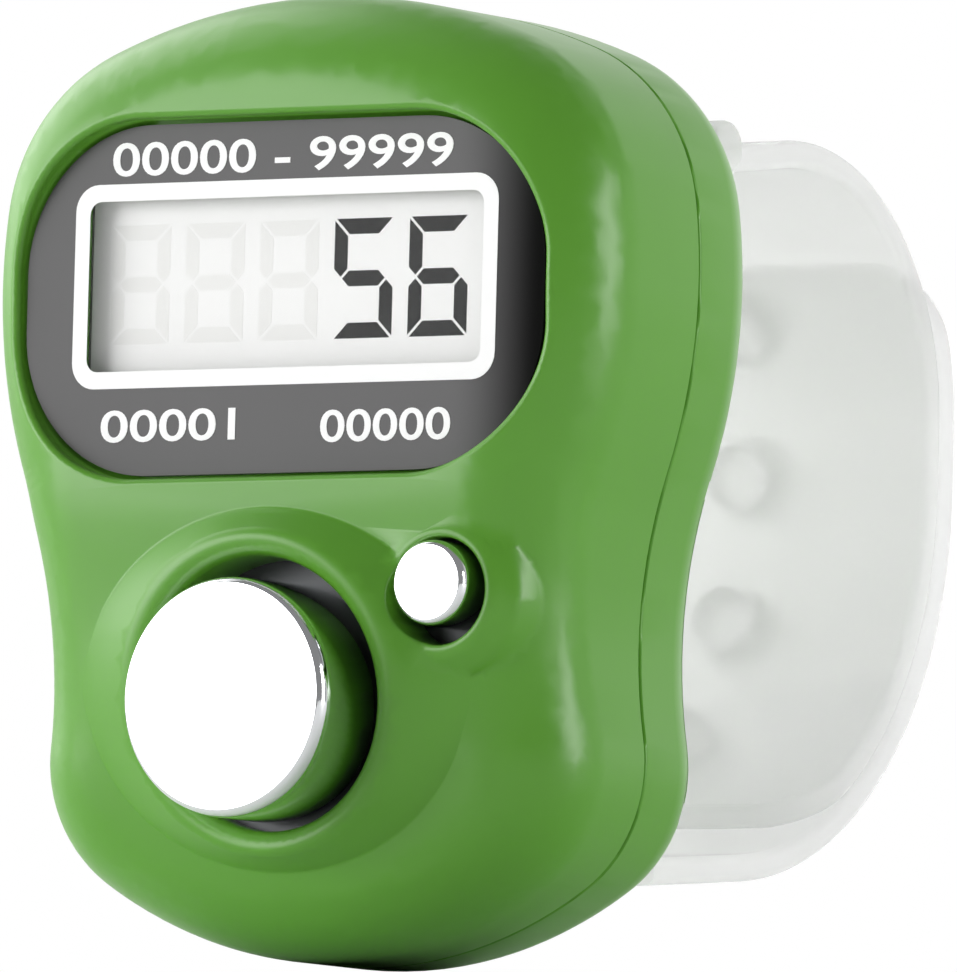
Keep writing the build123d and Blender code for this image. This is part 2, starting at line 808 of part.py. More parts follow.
save("front_shell", front_shell())
save("rear_shell", rear_shell())
save("display_panel", display_panel())
save("display_window", display_window())
save("lcd_front_polariser", glass_sheet(film_depth, glass_depth, 0, film_inset))
save("lcd_front_glass", glass_sheet(glass_depth, glass_depth + glass_thick, terminal_ledge, 0))
save("lcd_rear_glass", glass_sheet(glass_depth + glass_thick, glass_back, 0, 0))
save("lcd_reflector", glass_sheet(glass_back, reflector_back, 0, film_inset))
save("lcd_holder", lcd_holder())
save("zebra_strip", zebra_strip())
save("circuit_board", circuit_board())
save("controller_chip", controller_chip())
save("crystal_can", crystal_can())
save("board_components", board_components())
save("board_screws", board_screws())
save("case_screws", case_screws())
save("count_button", count_button())
save("reset_button", reset_button())
save("count_dome", rubber_dome(count_x, count_z, count_dome_radius, count_stem_radius, count_dome_height))
save("reset_dome", rubber_dome(reset_x, reset_z, reset_dome_radius, reset_stem_radius, reset_dome_height))
save("count_pill", contact_pill(count_x, count_z, count_stem_radius, count_dome_height, count_travel))
save("reset_pill", contact_pill(reset_x, reset_z, reset_stem_radius, reset_dome_height, reset_travel))
save("battery", battery())
save("battery_contact_negative", battery_contact_negative())
save("battery_contact_positive", battery_contact_positive())
save("battery_cover", battery_cover())
save("strap_upper", strap_upper())
save("strap_lower", strap_lower())
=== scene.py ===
# %% [markdown]
# # A finger tally counter
#
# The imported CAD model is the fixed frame: every piece is in metres, in the same place as its solid.
# This lesson dresses that frame. It rounds and shades the mouldings, builds the soft strap, draws the
# display, and ends with a camera that stands where the photograph was taken.

# %% Load the frame
from math import acos, atan2, cos, pi, radians, sin, sqrt, tan

import bmesh
import bpy
from mathutils import Matrix, Vector


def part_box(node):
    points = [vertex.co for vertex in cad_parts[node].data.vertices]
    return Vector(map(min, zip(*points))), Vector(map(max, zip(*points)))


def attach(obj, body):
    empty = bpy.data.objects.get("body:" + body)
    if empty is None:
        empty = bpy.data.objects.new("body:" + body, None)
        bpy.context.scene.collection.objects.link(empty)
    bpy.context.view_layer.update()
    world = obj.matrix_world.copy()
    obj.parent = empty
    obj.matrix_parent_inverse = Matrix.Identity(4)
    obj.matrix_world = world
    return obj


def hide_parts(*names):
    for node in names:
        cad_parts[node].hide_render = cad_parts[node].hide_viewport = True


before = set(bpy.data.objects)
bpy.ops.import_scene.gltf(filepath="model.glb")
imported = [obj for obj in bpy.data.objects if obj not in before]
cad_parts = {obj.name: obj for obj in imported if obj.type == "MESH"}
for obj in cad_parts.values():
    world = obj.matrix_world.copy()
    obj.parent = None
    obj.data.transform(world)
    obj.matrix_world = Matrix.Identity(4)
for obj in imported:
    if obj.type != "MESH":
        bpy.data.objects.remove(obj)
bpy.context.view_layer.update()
MM = 0.001
print("CAD nodes:", len(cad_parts))

# %% [markdown]
# The CAD measures depth from the front of the display panel and then moves everything so that the middle
# of the whole depth is at zero. One small function turns (x, depth, z) in millimetres into a place in the
# frame, so the numbers below can be read against the real object.

# %% Places on the object
PANEL_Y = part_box("display_panel")[0].y
window_low, window_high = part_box("display_window")
DISPLAY_Z = (window_low.z + window_high.z) / 2


def place(x, depth, z):
    """Point of the frame for a width, a depth behind the panel's face and a height, in millimetres."""
    return Vector((x * MM, PANEL_Y + depth * MM, z * MM))


print("panel face at y", round(PANEL_Y, 5), "display centre at z", round(DISPLAY_Z, 5))

# %% [markdown]
# ## Finishes
#
# Moulded plastic is never one flat colour. The tool leaves a fine spark-eroded grain, and the pigment flows
# in faint broad clouds. Several materials need that, so it is one shader group with named inputs. It puts out
# only a colour, a roughness and a height; the shader itself stays in each material.

# %% The moulding group


def add_node(tree, kind, **settings):
    node = tree.nodes.new(kind)
    for name, value in settings.items():
        if hasattr(node, name):
            setattr(node, name, value)
        else:
            node.inputs[name.replace("_", " ").title()].default_value = value
    return node


def moulding_group():
    """Cloudy pigment, fine grain and a roughness that follows it."""
    group = bpy.data.node_groups.new("moulding_grain", "ShaderNodeTree")
    face = group.interface
    face.new_socket("Color", in_out="INPUT", socket_type="NodeSocketColor")
    for name, value in (("Clouds", 0.05), ("Cloud Scale", 120.0), ("Grain Scale", 9000.0),
                        ("Roughness", 0.4), ("Roughness Spread", 0.06)):
        face.new_socket(name, in_out="INPUT", socket_type="NodeSocketFloat").default_value = value
    face.new_socket("Color", in_out="OUTPUT", socket_type="NodeSocketColor")
    face.new_socket("Roughness", in_out="OUTPUT", socket_type="NodeSocketFloat")
    face.new_socket("Height", in_out="OUTPUT", socket_type="NodeSocketFloat")
    entry = add_node(group, "NodeGroupInput")
    leave = add_node(group, "NodeGroupOutput")
    spot = add_node(group, "ShaderNodeTexCoord")
    clouds = add_node(group, "ShaderNodeTexNoise", detail=3.0)
    grain = add_node(group, "ShaderNodeTexNoise", detail=2.0)
    link = group.links.new
    for noise, scale in ((clouds, "Cloud Scale"), (grain, "Grain Scale")):
        link(spot.outputs["Object"], noise.inputs["Vector"])
        link(entry.outputs[scale], noise.inputs["Scale"])
    centred = add_node(group, "ShaderNodeMath", operation="SUBTRACT")
    centred.inputs[1].default_value = 0.5
    link(clouds.outputs["Fac"], centred.inputs[0])
    swing = add_node(group, "ShaderNodeMath", operation="MULTIPLY_ADD")
    link(centred.outputs[0], swing.inputs[0])
    link(entry.outputs["Clouds"], swing.inputs[1])
    swing.inputs[2].default_value = 1.0
    tone = add_node(group, "ShaderNodeVectorMath", operation="SCALE")
    link(entry.outputs["Color"], tone.inputs[0])
    link(swing.outputs[0], tone.inputs["Scale"])
    link(tone.outputs[0], leave.inputs["Color"])
    rough = add_node(group, "ShaderNodeMath", operation="MULTIPLY_ADD")
    link(centred.outputs[0], rough.inputs[0])
    link(entry.outputs["Roughness Spread"], rough.inputs[1])
    link(entry.outputs["Roughness"], rough.inputs[2])
    link(rough.outputs[0], leave.inputs["Roughness"])
    link(grain.outputs["Fac"], leave.inputs["Height"])
    return group


MOULDING = moulding_group()
print("group outputs:", [s.name for s in MOULDING.interface.items_tree if s.in_out == "OUTPUT"])

# %% [markdown]
# A small function makes a material from that group: the colour, how cloudy it is, how rough, and how deep
# the grain stands. Numbers that are the same all over are set on the shader's own sockets.

# %% Moulded and plated materials
GRAIN_STRENGTH = 0.25


def moulded(name, color, roughness, grain=0.002, clouds=0.05, grain_scale=9000.0, cloud_scale=120.0,
            spread=0.06, **sockets):
    """Material on the moulding group; the rest of the arguments set the shader's own sockets."""
    material = bpy.data.materials.new(name)
    material.use_nodes = True
    tree = material.node_tree
    shader = tree.nodes["Principled BSDF"]
    group = add_node(tree, "ShaderNodeGroup")
    group.node_tree = MOULDING
    for socket, value in (("Color", (*color, 1.0)), ("Clouds", clouds), ("Cloud Scale", cloud_scale),
                          ("Grain Scale", grain_scale), ("Roughness", roughness),
                          ("Roughness Spread", spread)):
        group.inputs[socket].default_value = value
    bump = add_node(tree, "ShaderNodeBump")
    bump.inputs["Strength"].default_value = GRAIN_STRENGTH
    bump.inputs["Distance"].default_value = grain * MM
    link = tree.links.new
    link(group.outputs["Color"], shader.inputs["Base Color"])
    link(group.outputs["Roughness"], shader.inputs["Roughness"])
    link(group.outputs["Height"], bump.inputs["Height"])
    link(bump.outputs["Normal"], shader.inputs["Normal"])
    for socket, value in sockets.items():
        shader.inputs[socket.replace("_", " ")].default_value = value
    return material


def srgb(red, green, blue):
    """Linear colour from the 0 to 255 values of a picture."""
    shares = (red / 255, green / 255, blue / 255)
    return tuple(((v + 0.055) / 1.055) ** 2.4 if v > 0.04 else v / 12.92 for v in shares)


green_moulding = moulded("green_moulding", srgb(89, 153, 42), 0.33, grain=0.004, clouds=0.10)
panel_plate = moulded("panel_plate", srgb(74, 73, 74), 0.40, grain=0.002, clouds=0.05)
printed_white = moulded("printed_white", srgb(250, 250, 250), 0.5, grain=0.001, clouds=0.02)
display_ink = moulded("display_ink", srgb(30, 30, 30), 0.5, grain=0.001, clouds=0.08,
                      Specular_IOR_Level=0.1)
display_ghost = moulded("display_ghost", srgb(244, 244, 242), 0.5, grain=0.001, clouds=0.02)
display_film = moulded("display_film", srgb(252, 252, 251), 0.45, grain=0.001, clouds=0.03)
holder_white = moulded("holder_white", srgb(232, 232, 226), 0.5)
black_rubber = moulded("black_rubber", srgb(28, 28, 28), 0.7, clouds=0.2)
board_mask = moulded("board_mask", srgb(28, 96, 48), 0.3, clouds=0.25, cloud_scale=400.0)
chip_epoxy = moulded("chip_epoxy", srgb(22, 22, 22), 0.45, clouds=0.2)
chip_ceramic = moulded("chip_ceramic", srgb(172, 140, 106), 0.55, clouds=0.15, cloud_scale=900.0)
dome_silicone = moulded("dome_silicone", srgb(214, 214, 208), 0.6)
bright_steel = moulded("bright_steel", srgb(200, 200, 198), 0.28, grain=0.001, clouds=0.08, Metallic=1.0)
chrome_plate = moulded("chrome_plate", srgb(236, 238, 240), 0.07, grain=0.0, clouds=0.03, spread=0.03,
                       Metallic=1.0)
# Dark metal on the buttons' feet is painted shade: it stands for the dark of the holes they sit in.
dull_plate = moulded("dull_plate", srgb(64, 65, 66), 0.4, grain=0.001, clouds=0.1, Metallic=1.0)
print("materials so far:", len(bpy.data.materials))

# %% [markdown]
# The panel's grey goes to black at its right end, and its gloss runs out with it: painted shade. It follows
# the width, so it stays on the plate from any side.

# %% The panel's painted shade
PAINTED_SHADE_START = 8.0
PAINTED_SHADE_END = 12.4
PANEL_GLOSS = 0.35


def add_painted_shade(material, shade_color, specular):
    """Painted shade on a plate: its colour and gloss run out along x."""
    tree = material.node_tree
    shader = tree.nodes["Principled BSDF"]
    link = tree.links.new
    print_color = shader.inputs["Base Color"].links[0].from_socket
    spot = add_node(tree, "ShaderNodeTexCoord")
    parts = add_node(tree, "ShaderNodeSeparateXYZ")
    painted_shade = add_node(tree, "ShaderNodeMapRange", interpolation_type="SMOOTHSTEP")
    gloss = add_node(tree, "ShaderNodeMapRange")
    for name, value in (("From Min", PAINTED_SHADE_START * MM), ("From Max", PAINTED_SHADE_END * MM)):
        painted_shade.inputs[name].default_value = value
    gloss.inputs["To Min"].default_value = specular
    gloss.inputs["To Max"].default_value = 0.0
    mix = add_node(tree, "ShaderNodeMix", data_type="RGBA")
    mix.inputs["B"].default_value = (*shade_color, 1.0)
    link(spot.outputs["Object"], parts.inputs[0])
    link(parts.outputs["X"], painted_shade.inputs["Value"])
    link(painted_shade.outputs["Result"], gloss.inputs["Value"])
    link(painted_shade.outputs["Result"], mix.inputs["Factor"])
    link(print_color, mix.inputs["A"])
    link(mix.outputs["Result"], shader.inputs["Base Color"])
    link(gloss.outputs["Result"], shader.inputs["Specular IOR Level"])


# Painted shade: the plate goes to near black and loses its gloss toward its right end.
add_painted_shade(panel_plate, srgb(22, 22, 22), PANEL_GLOSS)
print("fade from", PAINTED_SHADE_START, "to", PAINTED_SHADE_END, "mm")

# %% [markdown]
# The window and the display's glasses are thin clear sheets. Full refraction would keep the lamps from
# reaching the display behind them, so each sheet has a low alpha: light goes through, and the polished face
# still shows a faint reflection.

# %% Clear sheets


def clear_sheet(name, color, alpha, roughness):
    material = moulded(name, color, roughness, grain=0.0, clouds=0.02, spread=0.02, Alpha=alpha)
    material.surface_render_method = "BLENDED"
    return material


window_clear = clear_sheet("window_clear", srgb(150, 152, 151), 0.04, 0.06)
glass_clear = clear_sheet("glass_clear", srgb(236, 238, 236), 0.08, 0.05)
print("clear sheets:", window_clear.name, glass_clear.name)

# %% [markdown]
# The strap is soft, milky plastic. Light passes through it and scatters in it, and some of what is behind
# shows through, so it is a blend of transmission, subsurface scattering and a half-clear alpha.

# %% Strap material
strap_milk = moulded("strap_milk", srgb(240, 240, 240), 0.48, grain=0.006, clouds=0.04, cloud_scale=220.0,
                     grain_scale=5000.0, IOR=1.35, Transmission_Weight=0.6, Subsurface_Weight=0.5,
                     Subsurface_Scale=0.003, Alpha=0.5)
strap_milk.surface_render_method = "BLENDED"
strap_milk.node_tree.nodes["Principled BSDF"].inputs["Subsurface Radius"].default_value = (1.0, 1.0, 1.0)
print("strap material:", strap_milk.name)

# %% [markdown]
# ## Mouldings
#
# Every piece gets its material and the body it moves with in the same way. These small
# helpers make pieces, boxes to cut with, the plain mesh that a modifier leaves, and surfaces over loops.

# %% Helpers for pieces


def finish_piece(piece, material, body):
    """Give a piece its material and the body it moves with."""
    piece.data.materials.clear()
    piece.data.materials.append(material)
    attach(piece, body)
    return piece


def new_piece(name, mesh):
    piece = bpy.data.objects.new(name, mesh)
    bpy.context.scene.collection.objects.link(piece)
    return piece


def solid(name, work):
    mesh = bpy.data.meshes.new(name)
    work.to_mesh(mesh)
    work.free()
    return new_piece(name, mesh)


def baked(name, piece):
    """Plain mesh of an object as its modifiers leave it."""
    bpy.context.view_layer.update()
    mesh = bpy.data.meshes.new_from_object(piece.evaluated_get(bpy.context.evaluated_depsgraph_get()))
    mesh.name = name
    return mesh


def box_cutter(name, low, high):
    work = bmesh.new()
    bmesh.ops.create_cube(work, size=1.0)
    for vertex in work.verts:
        vertex.co = Vector([(a + b) / 2 + c * (b - a) for a, b, c in zip(low, high, vertex.co)])
    return solid(name, work)


def circle(steps):
    """Angles of evenly spaced points round a circle."""
    return [step * 2 * pi / steps for step in range(steps)]


def bridge(work, first, second):
    """Ring of faces between two loops of points."""
    for index in range(len(first)):
        after = (index + 1) % len(first)
        work.faces.new((first[index], first[after], second[after], second[index]))


def skin(work, loops):
    """Closed surface over a row of loops."""
    for first, second in zip(loops, loops[1:]):
        bridge(work, first, second)
    work.faces.new(loops[0])
    work.faces.new(loops[-1])
    bmesh.ops.recalc_face_normals(work, faces=work.faces)


print("helpers for pieces, cutters and closed surfaces are ready")

# %% [markdown]
# Smooth shading depends on the normals. They are weighted toward the larger faces, which keeps flat faces
# flat beside a rounded edge. On the gently curved front, long thin triangles would still show as streaks, so
# there each normal is averaged with its neighbours.

# %% Even normals
ONE_NORMAL = cos(radians(1))
GENTLE_TURN = cos(radians(6))
GENTLE_ROUNDS = 4


def weighted_normals(piece, name):
    """Bake normals that lean to the larger faces, with the sharp edges kept."""
    weigh = piece.modifiers.new("weigh", "WEIGHTED_NORMAL")
    weigh.keep_sharp = True
    piece.data = baked(name, piece)
    piece.modifiers.clear()


def averaged(normal, others):
    """Mean of a normal and those of the others that hardly turn from it."""
    near = [other for other in others if other.dot(normal) > GENTLE_TURN]
    return sum(near, normal.copy()).normalized()


def gentle_normals(mesh):
    """Average the normals at the vertices that have no sharp edge."""
    normals = [corner.vector.copy() for corner in mesh.corner_normals]
    corners = {}
    for loop in mesh.loops:
        corners.setdefault(loop.vertex_index, []).append(loop.index)
    even = {vertex: normals[own[0]] for vertex, own in corners.items()
            if all(normals[index].dot(normals[own[0]]) > ONE_NORMAL for index in own)}
    beside = {vertex: [] for vertex in even}
    for edge in mesh.edges:
        first, second = edge.vertices
        if first in even and second in even:
            beside[first].append(second)
            beside[second].append(first)
    for _ in range(GENTLE_ROUNDS):
        even = {vertex: averaged(normal, [even[other] for other in beside[vertex]])
                for vertex, normal in even.items()}
    for vertex, normal in even.items():
        for index in corners[vertex]:
            normals[index] = normal
    mesh.normals_split_custom_set(normals)


print("normals are averaged", GENTLE_ROUNDS, "times on curved pieces")

# %% [markdown]
# The CAD mesh of a node is loose triangles. A merged copy of it can be shaded smooth, with an edge kept sharp
# only where the faces turn by more than an angle. Triangles of one flat face are joined first. The copy
# replaces the node in the picture; the node keeps its place in the frame for collision.

# %% Smooth copies of the visible nodes
SAME_POINT = 2e-6
NO_LENGTH = 1e-6
FLAT_ANGLE = radians(0.03)
SHARP_ANGLE = radians(32)


def smooth_copy(node, material, body, curved=False):
    """Merged, smooth-shaded copy that stands for a CAD node."""
    mesh = bpy.data.meshes.new(node + "_smooth")
    work = bmesh.new()
    work.from_mesh(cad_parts[node].data)
    bmesh.ops.remove_doubles(work, verts=work.verts, dist=SAME_POINT)
    bmesh.ops.dissolve_degenerate(work, edges=work.edges, dist=NO_LENGTH)
    if not curved:
        bmesh.ops.dissolve_limit(work, angle_limit=FLAT_ANGLE, verts=work.verts, edges=work.edges)
    work.to_mesh(mesh)
    work.free()
    mesh.shade_smooth()
    mesh.set_sharp_from_angle(angle=SHARP_ANGLE)
    piece = new_piece(node + "_piece", mesh)
    weighted_normals(piece, node + "_smooth")
    if curved:
        gentle_normals(piece.data)
    finish_piece(piece, material, body)
    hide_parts(node)
    print(node, "smooth copy:", len(mesh.polygons), "faces")
    return piece


smooth_copy("front_shell", green_moulding, "case", curved=True)
smooth_copy("rear_shell", green_moulding, "case")
smooth_copy("battery_cover", green_moulding, "cover")
smooth_copy("display_panel", panel_plate, "case")
smooth_copy("case_screws", bright_steel, "case")
smooth_copy("battery", bright_steel, "case")

# %% [markdown]
# Chrome shows every facet, so the two buttons are turned afresh, as on a lathe: a profile of radius and depth
# runs from the middle of the face over the soft edge and down the side. The foot, which is the flange and the
# stem, gets a dark metal as painted shade: it sits in the dark of the hole.

# %% Turned buttons
TURN_STEPS = 96
EDGE_ARC = [step * pi / 10 for step in range(1, 6)]
FLANGE_DEPTH = 1.0
TURNED_SHARP = radians(30)


def turned(name, profile, x0, z0):
    """Closed lathe of (radius, depth) points about an axis that runs into the case."""
    work = bmesh.new()
    loops = []
    for r, depth in profile:
        spots = [place(x0 + r * cos(a), depth, z0 + r * sin(a)) for a in circle(TURN_STEPS)]
        loops.append([work.verts.new(spot) for spot in spots])
    skin(work, loops)
    piece = solid(name, work)
    piece.data.shade_smooth()
    piece.data.set_sharp_from_angle(angle=TURNED_SHARP)
    weighted_normals(piece, name)
    print(name, "turned:", len(piece.data.polygons), "faces")
    return piece


def turned_button(node, body, drop, face, radius, edge_across, edge_along, flange_radius, flange_end,
                  stem_radius, stem_end):
    """Button with its cap a little off the foot; depths run inward from the panel's face."""
    low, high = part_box(node)
    x0 = (low.x + high.x) / 2 / MM
    z0 = (low.z + high.z) / 2 / MM
    flat = radius - edge_across
    cap = [(flat, face)]
    cap += [(flat + edge_across * sin(a), face + edge_along * (1 - cos(a))) for a in EDGE_ARC]
    cap.append((radius, FLANGE_DEPTH))
    foot = [(flange_radius, FLANGE_DEPTH), (flange_radius, flange_end), (stem_radius, flange_end),
            (stem_radius, stem_end)]
    cap_piece = turned(node + "_cap", cap, x0, z0 - drop)
    finish_piece(cap_piece, chrome_plate, body)
    # The foot's dark metal is painted shade for the dark hole.
    finish_piece(turned(node + "_foot", foot, x0, z0), dull_plate, body)
    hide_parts(node)


turned_button("count_button", "count_key", drop=0.33, face=-3.8, radius=4.9, edge_across=0.3, edge_along=0.7,
              flange_radius=6.0, flange_end=1.9, stem_radius=3.0, stem_end=3.7)
turned_button("reset_button", "reset_key", drop=-0.28, face=-1.65, radius=1.75, edge_across=0.25,
              edge_along=0.5, flange_radius=2.5, flange_end=1.8, stem_radius=1.2, stem_end=4.1)

# %% [markdown]
# The pieces inside are the CAD nodes themselves. They only need their finishes.

# %% Finishes for the nodes that stay
KEPT = {
    "display_window": window_clear, "lcd_front_polariser": display_film, "lcd_front_glass": glass_clear,
    "lcd_rear_glass": glass_clear, "lcd_reflector": display_film, "lcd_holder": holder_white,
    "zebra_strip": black_rubber, "circuit_board": board_mask, "controller_chip": chip_epoxy,
    "crystal_can": bright_steel, "board_components": chip_ceramic, "board_screws": bright_steel,
    "count_dome": dome_silicone, "reset_dome": dome_silicone, "count_pill": black_rubber,
    "reset_pill": black_rubber, "battery_contact_negative": bright_steel,
    "battery_contact_positive": bright_steel,
}
for node, material in KEPT.items():
    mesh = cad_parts[node].data
    mesh.materials.clear()
    mesh.materials.append(material)
print("kept nodes:", len(KEPT))

# %% [markdown]
# ## Display
#
# Behind the clear window the display shows a pale film with dark digits. Every digit is made of the same
# seven bars, so Geometry Nodes place a bar on a set of points: each point is the middle of a digit and says
# whether the bar is turned over. Digits that are off leave a faint ghost.

# %% The bars of a digit
DIGIT_HEIGHT = 4.9
DIGIT_WIDTH = 2.86
BAR_THICK = 0.64
BAR_GAP = 0.08
DIGIT_PITCH = 3.63
LAST_DIGIT_X = 6.88
DIGIT_LIFT = 0.14
BAR_SHEET = 0.006
DIGIT_DEPTH = (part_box("lcd_front_polariser")[0].y - PANEL_Y) / MM
SEGMENTS = {"a": ("cap", 0), "d": ("cap", 180), "g": ("middle", 0), "f": ("left", 0),
            "c": ("left", 180), "b": ("right", 0), "e": ("right", 180)}
LIT = {"5": "afgcd", "6": "afgecd", "8": "abcdefg"}


def bar_outlines():
    """Outlines of the four bar shapes about the middle of a digit; half a turn makes the other three."""
    w = DIGIT_WIDTH / 2
    h = DIGIT_HEIGHT / 2
    t = BAR_THICK
    g = BAR_GAP
    left = [(-w, h - g), (-w, t / 2 + g), (-w + t / 2, g), (-w + t, t / 2 + g), (-w + t, h - t - g)]
    return {
        "cap": [(-w + g, h), (-w + t + g, h - t), (w - t - g, h - t), (w - g, h)],
        "middle": [(-w + t / 2 + g, 0), (-w + t + g, -t / 2), (w - t - g, -t / 2), (w - t / 2 - g, 0),
                   (w - t - g, t / 2), (-w + t + g, t / 2)],
        "left": left,
        "right": [(-x, z) for x, z in reversed(left)],
    }


def bar_mesh(outline):
    """One bar as a thin closed plate."""
    work = bmesh.new()
    plate = work.faces.new([work.verts.new((x * MM, 0, z * MM)) for x, z in outline])
    raised = bmesh.ops.extrude_face_region(work, geom=[plate])["geom"]
    bmesh.ops.translate(work, verts=[v for v in raised if isinstance(v, bmesh.types.BMVert)],
                        vec=(0, -BAR_SHEET * MM, 0))
    bmesh.ops.recalc_face_normals(work, faces=work.faces)
    mesh = bpy.data.meshes.new("bar")
    work.to_mesh(mesh)
    work.free()
    return mesh


print("bars in a 6:", len(LIT["6"]), "display layer at depth", round(DIGIT_DEPTH, 2), "mm")

# %% [markdown]
# The tree puts a copy of one shape on every point and turns it by the point's own angle. It ends in Realize
# Instances and Set Material, and the result is turned into a plain mesh. The digits use it here, and the pegs
# of the strap use it later.

# %% A tree for copies on points


def copies_tree(name, material):
    """Geometry Nodes tree that sets a turned copy of a shape on every point."""
    tree = bpy.data.node_groups.new(name, "GeometryNodeTree")
    tree.interface.new_socket("Geometry", in_out="INPUT", socket_type="NodeSocketGeometry")
    tree.interface.new_socket("Shape", in_out="INPUT", socket_type="NodeSocketObject")
    tree.interface.new_socket("Geometry", in_out="OUTPUT", socket_type="NodeSocketGeometry")
    entry = add_node(tree, "NodeGroupInput")
    leave = add_node(tree, "NodeGroupOutput")
    info = add_node(tree, "GeometryNodeObjectInfo")
    turn = add_node(tree, "GeometryNodeInputNamedAttribute", data_type="FLOAT_VECTOR")
    turn.inputs["Name"].default_value = "turn"
    spread = add_node(tree, "GeometryNodeInstanceOnPoints")
    real = add_node(tree, "GeometryNodeRealizeInstances")
    paint = add_node(tree, "GeometryNodeSetMaterial")
    paint.inputs["Material"].default_value = material
    link = tree.links.new
    link(entry.outputs["Geometry"], spread.inputs["Points"])
    link(entry.outputs["Shape"], info.inputs["Object"])
    link(info.outputs["Geometry"], spread.inputs["Instance"])
    link(turn.outputs["Attribute"], spread.inputs["Rotation"])
    link(spread.outputs["Instances"], real.inputs["Geometry"])
    link(real.outputs["Geometry"], paint.inputs["Geometry"])
    link(paint.outputs["Geometry"], leave.inputs["Geometry"])
    return tree


def socket_id(tree, name):
    return next(s.identifier for s in tree.interface.items_tree if s.name == name and s.in_out == "INPUT")


def copies(name, tree, shape, places, turns):
    """Run the tree on a set of places, each with its own turn, and return the mesh of copies."""
    points = bpy.data.meshes.new(name + "_points")
    points.from_pydata(places, [], [])
    turn = points.attributes.new("turn", "FLOAT_VECTOR", "POINT")
    for index, angles in enumerate(turns):
        turn.data[index].vector = angles
    holder = new_piece(name + "_points", points)
    model = new_piece(name + "_shape", shape)
    modifier = holder.modifiers.new("copies", "NODES")
    modifier.node_group = tree
    modifier[socket_id(tree, "Shape")] = model
    mesh = baked(name, holder)
    bpy.data.objects.remove(holder)
    bpy.data.objects.remove(model)
    return mesh


print("tree inputs: Geometry, Shape and the points' turn")

# %% [markdown]
# A row of digits is four sets of points, one for each shape of bar.

# %% Lit digits and ghosts


def digits(name, row, material):
    """All bars of a row of digits, as one piece on the case."""
    tree = copies_tree("digit_bars", material)
    height = DISPLAY_Z / MM + DIGIT_LIFT
    work = bmesh.new()
    for shape, outline in bar_outlines().items():
        bars = [(x, SEGMENTS[key][1]) for digit, x in row for key in LIT[digit] if SEGMENTS[key][0] == shape]
        if bars:
            places = [place(x, DIGIT_DEPTH, height) for x, _ in bars]
            turns = [(0, radians(angle), 0) for _, angle in bars]
            work.from_mesh(copies(name, tree, bar_mesh(outline), places, turns))
    whole = bpy.data.meshes.new(name)
    work.to_mesh(whole)
    work.free()
    print(name, "faces:", len(whole.polygons))
    return finish_piece(new_piece(name, whole), material, "case")


lit = [("5", LAST_DIGIT_X - DIGIT_PITCH), ("6", LAST_DIGIT_X)]
ghosts = [("8", LAST_DIGIT_X - step * DIGIT_PITCH) for step in (2, 3, 4)]
digits("digits_lit", lit, display_ink)
digits("digits_ghost", ghosts, display_ghost)

# %% [markdown]
# The window has a white printed border, and the plate carries plain numbers in white ink. Both are thin
# closed plates, two hundredths of a millimetre thick, laid on the panel's face.

# %% Printed border
INK = 0.02
BORDER_OUTER = (20.6, 8.4, 1.1)
BORDER_INNER = (19.2, 7.0, 0.55)
CORNER_STEPS = 8
CORNERS = ((1, 1, 0), (-1, 1, 90), (-1, -1, 180), (1, -1, 270))


def rounded_outline(width, height, corner):
    """Points of a rounded rectangle about zero, counter-clockwise in x and z."""
    points = []
    for sx, sz, start in CORNERS:
        for step in range(CORNER_STEPS + 1):
            angle = radians(start + 90 * step / CORNER_STEPS)
            points.append((sx * (width / 2 - corner) + corner * cos(angle),
                           sz * (height / 2 - corner) + corner * sin(angle)))
    return points


def printed_border():
    """Ring between two rounded outlines, as a thin closed plate."""
    work = bmesh.new()
    loops = []
    for depth in (-INK, 0.0):
        for size in (BORDER_OUTER, BORDER_INNER):
            spots = [place(x, depth, DISPLAY_Z / MM + z) for x, z in rounded_outline(*size)]
            loops.append([work.verts.new(spot) for spot in spots])
    front_outer, front_inner, back_outer, back_inner = loops
    for first, second in ((front_outer, front_inner), (front_inner, back_inner), (back_inner, back_outer),
                          (back_outer, front_outer)):
        bridge(work, first, second)
    bmesh.ops.recalc_face_normals(work, faces=work.faces)
    mesh = bpy.data.meshes.new("printed_border")
    work.to_mesh(mesh)
    work.free()
    return finish_piece(new_piece("printed_border", mesh), printed_white, "case")


print("border faces:", len(printed_border().data.polygons))

# %% [markdown]
# Each number is a text curve, stretched to its printed size and laid on the plate.

# %% Printed numbers
STROKE_GAIN = 0.012
STROKE_STEPS = 6
TEXT_WELD = 1e-7
# Text, middle in x, height above the display's middle, printed width and printed height.
NUMBERS = {"number_range": ("00000 - 99999", -0.25, 5.2, 16.6, 1.4),
           "number_count": ("00001", -5.5, -5.75, 6.6, 1.33),
           "number_reset": ("00000", 5.1, -5.95, 6.3, 1.33)}


